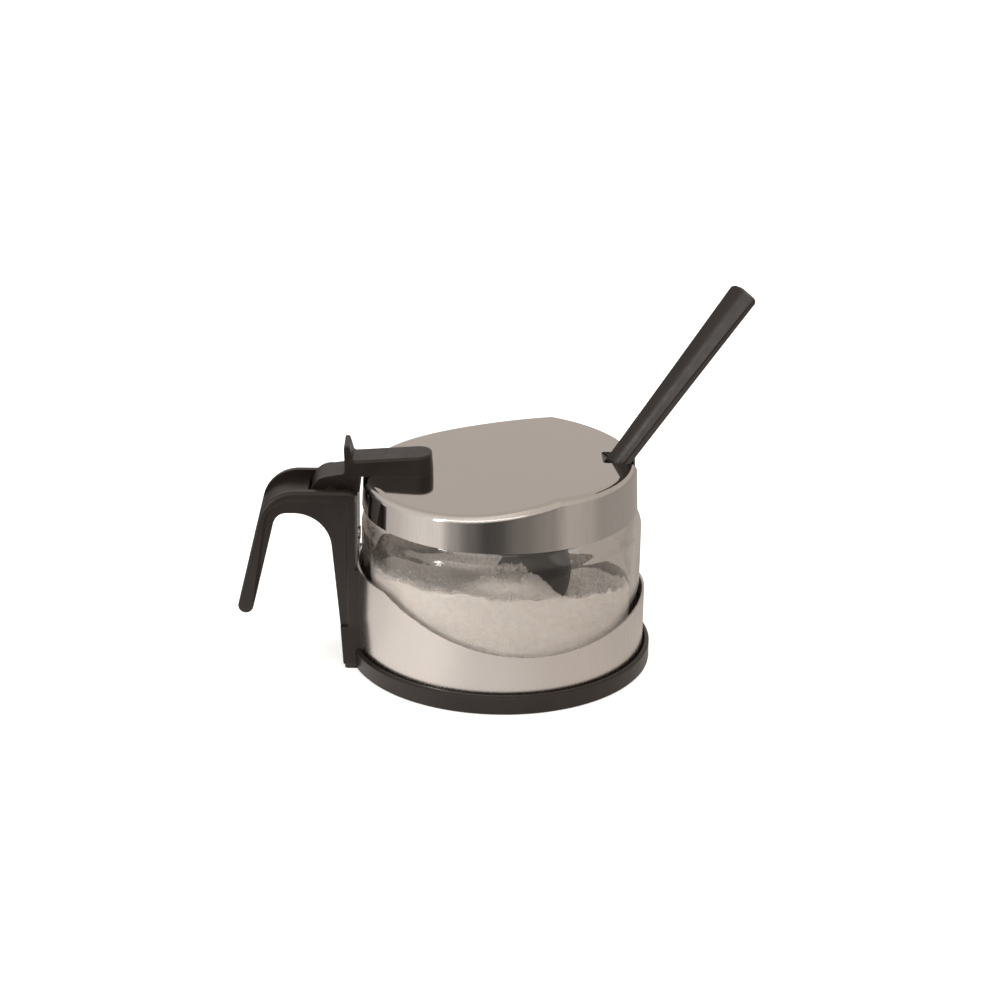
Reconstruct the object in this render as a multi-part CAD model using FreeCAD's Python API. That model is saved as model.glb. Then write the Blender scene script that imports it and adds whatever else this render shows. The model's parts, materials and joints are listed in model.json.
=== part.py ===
import FreeCAD, Part
import math
import os

from FreeCAD import Matrix, Vector

# Grated cheese bowl: a glass bowl in a steel sleeve on a black dish, with a black handle,
# a steel lid hinged in the handle and a black spoon that leans out through the lid's slot.
# Millimetres. The origin is the centre of the dish's underside, on the bowl's axis.
# +X points to the spoon, -X to the handle, -Y to the viewer, +Z up.

# Sleeve
sleeve_radius = 53.5
sleeve_wall = 0.8
sleeve_shelf_z = 37.0
sleeve_kink_run = 11.0
sleeve_kink_x = sleeve_kink_run - sleeve_radius
sleeve_low_x = 14.7
sleeve_low_z = 20.8

# Dish, with the lug and the notch under the column
dish_rim = 2.5
dish_radius = sleeve_radius + dish_rim
dish_floor = 2.4
dish_height = 7.2
dish_edge_bevel = 0.8
dish_foot_bevel = 0.5
dish_groove = 0.8
dish_groove_depth = 2.0
sleeve_seat_gap = 0.15
lug_step = 1.3
lug_reach = dish_radius + lug_step
lug_height = 1.6
lug_corner = 1.3
notch_gap = 0.2

# Glass bowl
bowl_gap = 1.2
glass_radius = sleeve_radius - sleeve_wall - bowl_gap
glass_wall = 3.0
glass_floor = 4.0
glass_base_round = 15.0
glass_shoulder_z = 53.5
shoulder_height = 5.5
glass_neck_z = glass_shoulder_z + shoulder_height
neck_step = 3.1
neck_radius = glass_radius - neck_step
neck_length = 11.3
rim_z = glass_neck_z + neck_length
rim_bevel = 0.8
shoulder_bulge = 0.72
shoulder_rise = 0.62
inner_shoulder_drop = 0.5
glass_foot_step = 19.5
glass_foot_radius = glass_radius - glass_foot_step
glass_foot_depth = 0.8

# Grated cheese
cheese_gap = 0.3
cheese_wall_z = 41.5
cheese_back_z = 20.0
cheese_ridge_width = 3.5
cheese_slope_deg = 42.0
cheese_foot_z = 14.0
hollow_x = 4.0
hollow_y = 16.0
mound_x = 4.0
mound_y = -27.0
mound_z = 42.5
mound_top_radius = 9.0

# Lid
lid_shift = -0.7
lid_fit = 2.2
lid_radius = neck_radius + lid_fit
lid_skirt_gap = 0.5
lid_skirt_z = glass_neck_z + lid_skirt_gap
lid_draft_deg = 2.3
lid_sheet = 0.6
lid_edge_round = 3.0
lid_inner_bevel = 1.7
lid_over_rim = 0.5
plate_z = rim_z + lid_over_rim + lid_sheet
plate_bend_run = 16.3
plate_bend_x = lid_shift - lid_radius + plate_bend_run
ridge_run = 53.7
ridge_x = plate_bend_x + ridge_run
ridge_rise = 6.4
ridge_z = plate_z + ridge_rise
plate_fall_deg = 1.5
hem_height = 1.0
hem_depth = 1.0
slot_width = 12.0
slot_length = 13.6
slot_end_x = lid_shift + lid_radius - slot_length
slot_corner = 1.5

# Hinge
hinge_gap = 9.0
hinge_x = -sleeve_radius - hinge_gap
hinge_drop = 7.0
hinge_z = plate_z - hinge_drop
pin_radius = 1.5
pin_clearance = 0.05
knuckle_radius = 7.25
pocket_clearance = 0.55
hub_radius = 2.9
hub_clearance = 0.15
pin_end_inset = 0.3
pin_blind_depth = 1.7
pin_end_bevel = 0.3

# Handle
handle_half_width = 13.7
rail_wall = 3.4
rail_inner = handle_half_width - rail_wall
rail_rise = 3.1
rail_top_z = hinge_z + rail_rise
shoulder_run = 23.46
shoulder_x = hinge_x - shoulder_run
shoulder_round = 14.0
grip_lean_deg = 13.4
grip_thickness = 5.7
grip_bottom_z = 19.6
arch_drop = 8.5
arch_top_z = rail_top_z - arch_drop
arch_round = 13.7
arch_grip_round = 5.0
column_depth = 4.3
column_foot_x = -sleeve_radius - column_depth
column_foot_round = 0.6
column_lean_deg = 5.36
column_top_round = 6.5
foot_widening = 4.3
foot_half_width = handle_half_width + foot_widening
foot_flare = 13.0
foot_flare_z = lug_height + foot_flare
bead_top = 3.9
bead_grip = 2.3
bead_edge_depth = 3.6
bead_edge_x = -sleeve_radius - bead_edge_depth
bead_foot_rise = 2.7
bead_foot_z = lug_height + bead_foot_rise
bead_end_rise = 7.4
bead_end_z = grip_bottom_z + bead_end_rise
bead_outer_round = 1.3
panel_foot_grow = -0.2
panel_wall_over = 0.3
panel_round = 10.5
panel_corner = 2.0
panel_depth = 1.3
channel_depth = 3.4
channel_floor_z = rail_top_z - channel_depth
channel_turn_run = 1.21
channel_turn_x = shoulder_x + channel_turn_run
channel_turn_round = 14.0
channel_turn_deg = 64.0
pocket_wall_gap = 1.35
pocket_wall_x = hinge_x - knuckle_radius - pocket_wall_gap
pocket_wall_drop = 6.0
pocket_wall_floor_z = rail_top_z - pocket_wall_drop

# Tab of the sleeve behind the column
tab_half_width = 11.0
tab_drop = 2.5
tab_top_z = rail_top_z - tab_drop
tab_corner = 3.0

# Lever on the lid
lever_width = 15.0
tongue_rise = 1.0
tongue_z = plate_z + tongue_rise
thumb_run = 4.9
tab_left_x = hinge_x + thumb_run
thumb_thickness = 1.9
tab_right_x = tab_left_x + thumb_thickness
thumb_rise = 11.4
thumb_z = plate_z + thumb_rise
thumb_foot_run = 1.5
tab_foot_x = tab_right_x + thumb_foot_run
block_rise = 5.8
block_z = plate_z + block_rise
block_run = 38.1
block_end_x = hinge_x + block_run
block_end_rise = 7.8
block_end_z = plate_z + block_end_rise
block_corner = 5.3
block_draft = 1.8
block_edge_round = 1.1
tab_lean = 0.4
tab_edge_round = 0.8
leg_run = 10.7
leg_x = hinge_x + leg_run
leg_rise = 1.1
leg_z = hinge_z + leg_rise
leg_round = 0.6
lever_inner_round = 1.2

# Spoon
spoon_lean_deg = 56.3
spoon_turn_deg = 42.0
spoon_slot_run = 6.6
spoon_slot_x = slot_end_x + spoon_slot_run
spoon_slot_drop = 0.8
spoon_slot_z = ridge_z - spoon_slot_drop
spoon_above = 76.5
spoon_lid_width = 7.4
spoon_lid_depth = 5.0
spoon_top_width = 10.8
spoon_top_depth = 3.6
spoon_neck_width = 6.6
spoon_neck_depth = 4.4
spoon_neck_lap = 3.0
spoon_crown = 0.7
spoon_crown_peak = 0.14
spoon_arris = 0.5
spoon_end_left = 3.2
spoon_end_right = 2.2
scoop_half_width = 15.0
scoop_half_length = 22.0
scoop_depth = 5.5
scoop_wall = 1.9
scoop_below = 60.0
scoop_clearance = 0.4
scoop_path_corner = 14.6

# Screws
sleeve_screw_radius = 1.3
sleeve_screw_head = 2.7
sleeve_screw_head_depth = 0.75
sleeve_screw_zs = (16.0, 47.0)
sleeve_screw_bite = 4.2
base_screw_radius = 1.1
base_screw_head = 1.9
base_screw_head_depth = 0.8
base_screw_recess = 0.2
base_screw_inset = 1.4
base_screw_x = -sleeve_radius - base_screw_inset
base_screw_y = 7.5
base_screw_bite = 9.0
lever_screw_radius = 1.5
lever_screw_head = 2.6
lever_screw_head_depth = 1.4
lever_screw_runs = (16.1, 6.1)
lever_screw_xs = tuple(block_end_x - run for run in lever_screw_runs)
lever_screw_bite = 4.5
screw_hole_gap = 0.2
screw_head_bevel = 0.45

overcut = 5.0
close = 0.001
sliver = 0.01
lap = 0.1
tall = 200.0


def side(x, z):
    """Point in the side view, in the plane that halves the object."""
    return Vector(x, 0, z)


def plan(x, y):
    """Point in the plan view."""
    return Vector(x, y, 0)


def corner_points(before, here, after, radius):
    """Where a corner's arc starts, passes and ends."""
    back = (before - here).normalize()
    ahead = (after - here).normalize()
    if radius == 0:
        return here, None, here
    half_angle = back.getAngle(ahead) / 2
    reach = radius / math.tan(half_angle)
    middle_way = (back + ahead).normalize()
    middle = here + middle_way * (radius / math.sin(half_angle) - radius)
    return here + back * reach, middle, here + ahead * reach


def rounded_wire(corners, place):
    """Closed wire through corners given as (across, up, radius)."""
    points = [Vector(across, up, 0) for across, up, radius in corners]
    count = len(corners)
    turns = []
    for i in range(count):
        turns.append(corner_points(points[i - 1], points[i], points[(i + 1) % count], corners[i][2]))
    edges = []
    for i, (start, middle, end) in enumerate(turns):
        if middle is not None:
            arc = Part.Arc(place(start.x, start.y), place(middle.x, middle.y), place(end.x, end.y))
            edges.append(arc.toShape())
        following = turns[(i + 1) % count][0]
        if (following - end).Length > close:
            edges.append(Part.LineSegment(place(end.x, end.y), place(following.x, following.y)).toShape())
    return Part.Wire(edges)


def slab(corners, half_width):
    """Side-view outline made as wide as the given half width on both sides."""
    face = Part.Face(rounded_wire(corners, side))
    body = face.extrude(Vector(0, 2 * half_width, 0))
    body.translate(Vector(0, -half_width, 0))
    return body


def turned(points):
    """Solid of revolution round the bowl's axis; arcs are given as three points in a tuple."""
    edges = []
    here = side(*points[0])
    for step in points[1:]:
        if len(step) == 4:
            end = side(step[2], step[3])
            edges.append(Part.Arc(here, side(step[0], step[1]), end).toShape())
        else:
            end = side(*step)
            edges.append(Part.LineSegment(here, end).toShape())
        here = end
    start = side(*points[0])
    if (start - here).Length > close:
        edges.append(Part.LineSegment(here, start).toShape())
    face = Part.Face(Part.Wire(edges))
    return face.revolve(Vector(0, 0, 0), Vector(0, 0, 1), 360)


def quarter(centre_r, centre_z, radius, start_deg, end_deg):
    """Middle and end of an arc, for turned."""
    middle = math.radians((start_deg + end_deg) / 2)
    end = math.radians(end_deg)
    return (
        centre_r + radius * math.cos(middle),
        centre_z + radius * math.sin(middle),
        centre_r + radius * math.cos(end),
        centre_z + radius * math.sin(end),
    )


def upright(radius, bottom, top):
    """Cylinder on the bowl's axis."""
    return Part.makeCylinder(radius, top - bottom, Vector(0, 0, bottom))


def cross_rod(radius, start_y, end_y):
    """Cylinder on the hinge axis."""
    return Part.makeCylinder(radius, end_y - start_y, Vector(hinge_x, start_y, hinge_z), Vector(0, 1, 0))


def edges_where(shape, test):
    """Edges whose middle passes the test."""
    found = []
    for edge in shape.Edges:
        middle = edge.valueAt((edge.FirstParameter + edge.LastParameter) / 2)
        if test(middle, edge):
            found.append(edge)
    return found


# Steel sleeve


def sleeve_edge_z(x):
    """Height of the sleeve's cut-away edge."""
    rise = sleeve_shelf_z - sleeve_low_z
    run = sleeve_low_x - sleeve_kink_x
    radius = (rise ** 2 + run ** 2) / (2 * rise)
    return sleeve_low_z + radius - math.sqrt(radius ** 2 - (x - sleeve_low_x) ** 2)


def make_steel_sleeve():
    """Open band, level at the handle, cut away in one long round edge, with a flat tab for the column."""
    tube = upright(sleeve_radius, dish_floor, tab_top_z)
    tube = tube.cut(upright(sleeve_radius - sleeve_wall, dish_floor - 1, tab_top_z + 1))
    end_x = sleeve_radius + overcut
    middle_x = (sleeve_kink_x + end_x) / 2
    shelf_start = side(-end_x, sleeve_shelf_z)
    kink = side(sleeve_kink_x, sleeve_shelf_z)
    edge_end = side(end_x, sleeve_edge_z(end_x))
    outline = Part.Wire([
        Part.LineSegment(side(-end_x, 0), shelf_start).toShape(),
        Part.LineSegment(shelf_start, kink).toShape(),
        Part.Arc(kink, side(middle_x, sleeve_edge_z(middle_x)), edge_end).toShape(),
        Part.LineSegment(edge_end, side(end_x, 0)).toShape(),
        Part.LineSegment(side(end_x, 0), side(-end_x, 0)).toShape(),
    ])
    low_part = Part.Face(outline).extrude(Vector(0, 2 * end_x, 0))
    low_part.translate(Vector(0, -end_x, 0))
    tab_outline = rounded_wire([
        (-tab_half_width, sleeve_shelf_z, 0),
        (tab_half_width, sleeve_shelf_z, 0),
        (tab_half_width, tab_top_z, tab_corner),
        (-tab_half_width, tab_top_z, tab_corner),
    ], lambda y, z: Vector(-sleeve_radius, y, z))
    tab = Part.Face(tab_outline).extrude(Vector(sleeve_wall, 0, 0))
    sleeve = tube.common(low_part).fuse(tab).removeSplitter()
    for z in sleeve_screw_zs:
        sleeve = sleeve.cut(sleeve_bore(z, sleeve_screw_radius + screw_hole_gap))
    return sleeve


def sleeve_bore(z, radius):
    """Straight hole through the sleeve towards the column."""
    return Part.makeCylinder(radius, 2 * overcut, Vector(-sleeve_radius + overcut, 0, z), Vector(-1, 0, 0))


# Dish under the bowl


def lug_block():
    """Flat lug under the column, before it joins the dish."""
    corners = [
        (-lug_reach, -foot_half_width, lug_corner),
        (0, -foot_half_width, 0),
        (0, foot_half_width, 0),
        (-lug_reach, foot_half_width, lug_corner),
    ]
    return Part.Face(rounded_wire(corners, plan)).extrude(Vector(0, 0, lug_height))


def make_base_ring():
    """Round dish whose low wall holds the sleeve, with a lug and a notch for the column."""
    seat = sleeve_radius + sleeve_seat_gap
    groove_bottom = dish_height - dish_groove_depth
    dish = turned([
        (0, 0),
        (dish_radius - dish_foot_bevel, 0),
        (dish_radius, dish_foot_bevel),
        (dish_radius, dish_height - dish_edge_bevel),
        (dish_radius - dish_edge_bevel, dish_height),
        (seat + dish_groove, dish_height),
        (seat, groove_bottom),
        (seat, dish_floor),
        (0, dish_floor),
    ])
    ring = dish.fuse(lug_block().cut(upright(seat, dish_floor, tall)))
    notch = Part.makeBox(
        dish_radius, 2 * (handle_half_width + notch_gap), tall,
        Vector(-dish_radius - overcut, -handle_half_width - notch_gap, lug_height))
    notch = notch.fuse(foot_wedges(-dish_radius - overcut, notch_gap))
    notch = notch.cut(upright(sleeve_radius, -1, tall + 1))
    ring = ring.cut(notch)
    for y in (-base_screw_y, base_screw_y):
        ring = ring.cut(base_bore(y, base_screw_radius + screw_hole_gap, -1, lug_height + 1))
        ring = ring.cut(base_bore(y, base_screw_head + screw_hole_gap, -1, base_screw_head_top()))
    return ring.removeSplitter()


def foot_wedges(start_x, gap):
    """Wedges that widen the column's foot to the lug, grown by the gap on their slopes."""
    half = foot_half_width + gap
    outline = [
        (-half, lug_height, 0),
        (half, lug_height, 0),
        (handle_half_width, foot_flare_z + gap, 0),
        (-handle_half_width, foot_flare_z + gap, 0),
    ]
    face = Part.Face(rounded_wire(outline, lambda y, z: Vector(start_x, y, z)))
    return face.extrude(Vector(-start_x, 0, 0))


def base_screw_head_top():
    """Height of the face under each base screw's head."""
    return base_screw_recess + base_screw_head_depth


def base_bore(y, radius, bottom, top):
    """Upright round body at a base screw's place."""
    return Part.makeCylinder(radius, top - bottom, Vector(base_screw_x, y, bottom))


# Glass bowl


def glass_outline(inset):
    """Outside of the bowl in section from the axis outwards, moved in by the inset."""
    floor_z = dish_floor + (glass_floor if inset else 0)
    base_round = glass_base_round - inset
    side_radius = glass_radius - inset
    neck = neck_radius - inset
    step = side_radius - neck
    drop = inset * inner_shoulder_drop
    shoulder_top = glass_neck_z - drop
    return [
        (0, floor_z),
        (side_radius - base_round, floor_z),
        quarter(side_radius - base_round, floor_z + base_round, base_round, -90, 0),
        (side_radius, glass_shoulder_z - drop),
        (neck + step * shoulder_bulge,
         glass_shoulder_z - drop + (shoulder_top - glass_shoulder_z) * shoulder_rise,
         neck, shoulder_top),
    ]


def make_glass_bowl():
    """Round bowl with a rounded base, a shoulder, a straight neck and a bevelled rim."""
    outside = glass_outline(0) + [
        (neck_radius, rim_z - rim_bevel),
        (neck_radius - rim_bevel, rim_z),
        (0, rim_z),
    ]
    inner_neck = neck_radius - glass_wall
    inside = glass_outline(glass_wall) + [
        (inner_neck, rim_z - rim_bevel),
        (inner_neck + rim_bevel, rim_z),
        (inner_neck + rim_bevel, rim_z + 1),
        (0, rim_z + 1),
    ]
    bowl = turned(outside).cut(turned(inside))
    foot_hollow = turned([
        (0, dish_floor - 1),
        (glass_foot_radius, dish_floor - 1),
        (glass_foot_radius, dish_floor),
        (glass_foot_radius - glass_foot_depth, dish_floor + glass_foot_depth),
        (0, dish_floor + glass_foot_depth),
    ])
    return bowl.cut(foot_hollow)


# Grated cheese


def make_grated_cheese(scoop_path):
    """Heap that leans on the front of the glass, with a mound before the spoon and slopes of grains."""
    wall = glass_wall + cheese_gap
    bottom = dish_floor + glass_floor + cheese_gap
    side_radius = glass_radius - wall
    base_round = glass_base_round - wall
    heap = turned([
        (0, bottom),
        (side_radius - base_round, bottom),
        (side_radius, cheese_foot_z + wall),
        (side_radius, mound_z),
        (0, mound_z),
    ])
    slope = math.tan(math.radians(cheese_slope_deg))
    run_at_wall = side_radius - cheese_ridge_width + hollow_y
    hollow = Part.makeCone(
        run_at_wall - (cheese_wall_z - cheese_back_z) / slope,
        run_at_wall + (mound_z - cheese_wall_z) / slope,
        mound_z - cheese_back_z, Vector(hollow_x, hollow_y, cheese_back_z))
    above = Part.makeBox(tall, tall, tall, Vector(-tall / 2, -tall / 2, cheese_wall_z))
    mound = Part.makeCone(
        mound_top_radius + mound_z / slope, mound_top_radius, mound_z, Vector(mound_x, mound_y, 0))
    return heap.cut(hollow.fuse(above).cut(mound)).cut(scoop_path)


# Lid


def plate_arc_radius():
    """Radius of the lid's rising top, tangent to the flat part."""
    run = ridge_x - plate_bend_x
    rise = ridge_z - plate_z
    return (run ** 2 + rise ** 2) / (2 * rise)


def plate_ridge(inset):
    """Where the rising top meets the falling one, both moved down by the inset."""
    radius = plate_arc_radius() + inset
    centre_z = plate_z + plate_arc_radius()
    fall = math.radians(plate_fall_deg)
    x = ridge_x
    for _ in range(20):
        line_z = ridge_z - (x - ridge_x) * math.tan(fall) - inset / math.cos(fall)
        x = plate_bend_x + math.sqrt(radius ** 2 - (centre_z - line_z) ** 2)
    return x, line_z


def below_plate(inset):
    """Everything under the lid's top, moved down by the inset."""
    radius = plate_arc_radius() + inset
    peak_x, peak_z = plate_ridge(inset)
    reach = lid_radius + overcut
    fall = math.tan(math.radians(plate_fall_deg))
    flat_z = plate_z - inset
    middle_x = (plate_bend_x + peak_x) / 2
    middle_z = plate_z + plate_arc_radius() - math.sqrt(radius ** 2 - (middle_x - plate_bend_x) ** 2)
    far = side(reach, peak_z - (reach - peak_x) * fall)
    bend = side(plate_bend_x, flat_z)
    peak = side(peak_x, peak_z)
    outline = Part.Wire([
        Part.LineSegment(side(-reach, 0), side(-reach, flat_z)).toShape(),
        Part.LineSegment(side(-reach, flat_z), bend).toShape(),
        Part.Arc(bend, side(middle_x, middle_z), peak).toShape(),
        Part.LineSegment(peak, far).toShape(),
        Part.LineSegment(far, side(reach, 0)).toShape(),
        Part.LineSegment(side(reach, 0), side(-reach, 0)).toShape(),
    ])
    body = Part.Face(outline).extrude(Vector(0, 2 * reach, 0))
    body.translate(Vector(0, -reach, 0))
    return body


def lid_form(inset, bottom):
    """Solid inside the lid's surface, moved in by the inset, its top edge still sharp."""
    draft = math.tan(math.radians(lid_draft_deg))
    top = ridge_z + overcut
    bottom_radius = lid_radius - inset - (bottom - lid_skirt_z) * draft
    top_radius = lid_radius - inset - (top - lid_skirt_z) * draft
    cone = Part.makeCone(bottom_radius, top_radius, top - bottom, Vector(lid_shift, 0, bottom))
    return cone.common(below_plate(inset))


def lid_top_edges(form):
    """Edges between the lid's top and its skirt."""
    def on_top_edge(point, edge):
        across = math.hypot(point.x - lid_shift, point.y)
        return point.z > plate_z - lid_edge_round and across > lid_radius - overcut and edge.Length > 1

    return edges_where(form, on_top_edge)


def slot_cutter():
    """Upright prism that opens the lid for the spoon, from its inner end out past the rim."""
    reach = lid_radius + overcut
    corners = [
        (slot_end_x, -slot_width / 2, slot_corner),
        (reach, -slot_width / 2, 0),
        (reach, slot_width / 2, 0),
        (slot_end_x, slot_width / 2, slot_corner),
    ]
    return Part.Face(rounded_wire(corners, plan)).extrude(Vector(0, 0, tall))


def make_lid_cap():
    """Pressed sheet lid with a turned-in hem, a ridge across the top and the spoon's slot."""
    outside = lid_form(0, lid_skirt_z)
    outside = outside.makeFillet(lid_edge_round, lid_top_edges(outside))
    inside = lid_form(lid_sheet, lid_skirt_z + hem_height)
    inside = inside.makeChamfer(lid_inner_bevel, lid_top_edges(inside))
    hem_hole = Part.makeCylinder(
        lid_radius - hem_depth, 2 * hem_height, Vector(lid_shift, 0, lid_skirt_z - hem_height / 2))
    cap = outside.cut(inside).cut(hem_hole)
    cap = cap.cut(slot_cutter())
    for x in lever_screw_xs:
        cap = cap.cut(lever_bore(x, lever_screw_radius + screw_hole_gap, -overcut, overcut))
    return cap


def lever_bore(x, radius, below, above):
    """Upright round body at a lever screw's place, measured from the plate's underside."""
    underside = plate_z - lid_sheet
    return Part.makeCylinder(radius, above - below, Vector(x, 0, underside + below))


def lever_outline():
    """Side view of the lever without its knuckle; the lower edge is trimmed to the lid later."""
    return [
        (leg_x, leg_z, leg_round),
        (leg_x, plate_z - overcut, 0),
        (block_end_x, plate_z - overcut, 0),
        (block_end_x, block_end_z, 0),
        (tab_foot_x, block_z, lever_inner_round),
        (tab_right_x, thumb_z, 0),
        (tab_left_x, thumb_z, 0),
        (tab_left_x + tab_lean, tongue_z, lever_inner_round),
        (hinge_x, hinge_z + knuckle_radius, 0),
        (hinge_x, leg_z, 0),
    ]


def lever_form():
    """Room for the lever seen from above, round at the lid's end and narrower towards its top."""
    levels = []
    for z, inset in ((leg_z - overcut, 0), (block_end_z + overcut, block_draft)):
        half = (lever_width - inset) / 2
        levels.append(rounded_wire([
            (hinge_x - overcut, -half, 0),
            (block_end_x - inset, -half, block_corner),
            (block_end_x - inset, half, block_corner),
            (hinge_x - overcut, half, 0),
        ], lambda x, y, z=z: Vector(x, y, z)))
    return Part.makeLoft(levels, True, True)


def make_lid_lever():
    """Grip block, thumb tab, leg and hinge knuckle in one moulding, bored for the pin."""
    half = lever_width / 2
    lever = slab(lever_outline(), half + overcut)
    lever = lever.common(lever_form())
    beside_leg = Part.makeBox(tall, tall, tall, Vector(leg_x - tall, -tall / 2, 0))
    lever = lever.cut(below_plate(0).cut(beside_leg))

    def block_top_edge(point, edge):
        return point.x > tab_foot_x + lever_inner_round and point.z > block_z - lap

    def tab_edge(point, edge):
        return point.z > thumb_z - close

    lever = lever.makeFillet(block_edge_round, edges_where(lever, block_top_edge))
    lever = lever.makeFillet(tab_edge_round, edges_where(lever, tab_edge))
    knuckle = cross_rod(knuckle_radius, -half, half)
    hub_end = rail_inner - hub_clearance
    lever = lever.fuse([knuckle, cross_rod(hub_radius, -hub_end, hub_end)]).removeSplitter()
    lever = lever.cut(cross_rod(pin_radius + pin_clearance, -tall / 2, tall / 2))
    for x in lever_screw_xs:
        lever = lever.cut(lever_bore(x, lever_screw_radius, 0, lid_sheet + lever_screw_bite))
    return lever


# Handle


def grip_way():
    """Direction down the grip and the direction from its inner to its outer face."""
    lean = math.radians(grip_lean_deg)
    return Vector(-math.sin(lean), -math.cos(lean), 0), Vector(-math.cos(lean), math.sin(lean), 0)


def grip_x(z, inset):
    """Place across of a line down the grip, the inset in from its outer face."""
    lean = math.radians(grip_lean_deg)
    return shoulder_x - (rail_top_z - z) * math.tan(lean) + inset / math.cos(lean)


def column_x(z):
    """Place across of the arch's edge on the column."""
    return column_foot_x - (z - lug_height) * math.tan(math.radians(column_lean_deg))


def grip_end():
    """Corners of the grip's lower end, inner one first."""
    down, outward = grip_way()
    half = grip_thickness / 2
    centre_z = grip_bottom_z + half
    centre = Vector(grip_x(centre_z, half), centre_z, 0)
    inner = centre + down * half - outward * half
    outer = centre + down * half + outward * half
    return inner, outer


def handle_outline(back_x):
    """Side view of the whole handle; the back edge is trimmed to the sleeve later."""
    inner, outer = grip_end()
    half = grip_thickness / 2
    return [
        (back_x, lug_height, 0),
        (column_foot_x, lug_height, column_foot_round),
        (column_x(arch_top_z), arch_top_z, arch_round),
        (grip_x(arch_top_z, grip_thickness), arch_top_z, arch_grip_round),
        (inner.x, inner.y, half),
        (outer.x, outer.y, half),
        (shoulder_x, rail_top_z, shoulder_round),
        (back_x, rail_top_z, column_top_round),
    ]


def panel_outline(grow):
    """Inner edge of the bead, moved into it by grow; on the grip it runs out at the inner face."""
    top = rail_top_z - bead_top
    turn = Vector(grip_x(top, bead_grip), top, 0)
    run_out = Vector(grip_x(bead_end_z, grip_thickness), bead_end_z, 0)
    way = (run_out - turn).normalize()
    outward = Vector(way.y, -way.x, 0) * grow
    start = turn + outward
    corner = start + way * ((top + grow - start.y) / way.y)
    past = run_out + outward + way * overcut
    return [
        (bead_edge_x + grow, bead_foot_z - grow, 0),
        (bead_edge_x + grow, top + grow, panel_corner + grow),
        (corner.x, corner.y, panel_round + grow),
        (past.x, past.y, 0),
        (past.x + overcut, past.y, 0),
        (column_foot_x - overcut, bead_foot_z - grow, 0),
    ]


def panel_cutter():
    """The recess of one side panel and its sloping wall, on the +Y side."""
    inner_y = handle_half_width - panel_depth
    outer_y = handle_half_width + panel_wall_over
    wires = []
    for y, grow in ((inner_y, panel_foot_grow), (outer_y, panel_foot_grow + outer_y - inner_y)):
        wires.append(rounded_wire(panel_outline(grow), lambda x, z, y=y: Vector(x, y, z)))
    return Part.makeLoft(wires, True, True)


def web_outline():
    """The panel level: follows the arch, and its outer side stays hidden in the bead."""
    inset = bead_grip / 2
    top = rail_top_z - bead_top + inset
    low = bead_end_z - overcut
    return [
        (bead_edge_x + inset, bead_foot_z - inset, 0),
        (column_x(bead_foot_z - inset), bead_foot_z - inset, 0),
        (column_x(arch_top_z), arch_top_z, arch_round),
        (grip_x(arch_top_z, grip_thickness), arch_top_z, arch_grip_round),
        (grip_x(low, grip_thickness), low, 0),
        (grip_x(low, inset), low, 0),
        (grip_x(top, inset), top, panel_round),
        (bead_edge_x + inset, top, 0),
    ]


def make_handle():
    """Column, arched shoulder with two rails, and leaning grip, with recessed side panels."""
    back_x = lap - math.sqrt(sleeve_radius ** 2 - foot_half_width ** 2)
    bead = slab(handle_outline(back_x), handle_half_width)

    def outer_edge(point, edge):
        on_side = abs(abs(point.y) - handle_half_width) < close
        outside = point.z > arch_top_z or point.x < grip_x(point.z, grip_thickness / 2) + lap
        return on_side and outside and point.x < back_x - sliver

    bead = bead.makeFillet(bead_outer_round, edges_where(bead, outer_edge))
    recess = panel_cutter()
    bead = bead.cut([recess, recess.mirror(Vector(0, 0, 0), Vector(0, 1, 0))])
    web = slab(web_outline(), handle_half_width - panel_depth)
    column = Part.Face(rounded_wire(handle_outline(back_x), side)).extrude(Vector(0, tall, 0))
    column.translate(Vector(0, -tall / 2, 0))
    foot = column.common(foot_wedges(column_foot_x - overcut, 0))
    handle = bead.fuse([web, foot]).removeSplitter()
    handle = handle.cut(channel_cutter())
    handle = handle.cut(pocket_cutter())
    handle = handle.cut(upright(sleeve_radius, -1, tall))
    handle = handle.cut(Part.makeBox(
        tall, tall, tall, Vector(-sleeve_radius, -tall / 2, sleeve_shelf_z)))
    handle = handle.cut(cross_rod(pin_radius, -pin_end_y(), tall))
    for z in sleeve_screw_zs:
        depth = sleeve_radius + sleeve_screw_bite
        handle = handle.cut(Part.makeCylinder(
            sleeve_screw_radius, depth, Vector(0, 0, z), Vector(-1, 0, 0)))
    for y in (-base_screw_y, base_screw_y):
        handle = handle.cut(base_bore(y, base_screw_radius, 0, lug_height + base_screw_bite))
    return handle


def pin_end_y():
    """How far the pin reaches into the blind side wall."""
    return rail_inner + pin_blind_depth


def channel_cutter():
    """The channel between the rails, whose floor runs out through the grip's outer face."""
    turn = math.radians(channel_turn_deg)
    down = 2 * channel_turn_round
    return slab([
        (pocket_wall_x + lap, channel_floor_z, 0),
        (channel_turn_x, channel_floor_z, channel_turn_round),
        (channel_turn_x - down * math.cos(turn), channel_floor_z - down * math.sin(turn), 0),
        (channel_turn_x - down * math.cos(turn), rail_top_z + overcut, 0),
        (pocket_wall_x + lap, rail_top_z + overcut, 0),
    ], rail_inner)


def pocket_cutter():
    """Room for the knuckle and the lever's leg between the rails."""
    round_room = cross_rod(knuckle_radius + pocket_clearance, -rail_inner, rail_inner)
    back_room = Part.makeBox(
        hinge_x - pocket_wall_x, 2 * rail_inner, tall,
        Vector(pocket_wall_x, -rail_inner, pocket_wall_floor_z))
    leg_room = Part.makeBox(
        sleeve_radius, 2 * rail_inner, tall,
        Vector(hinge_x, -rail_inner, hinge_z))
    return round_room.fuse([back_room, leg_room])


# Hinge pin and screws


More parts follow.
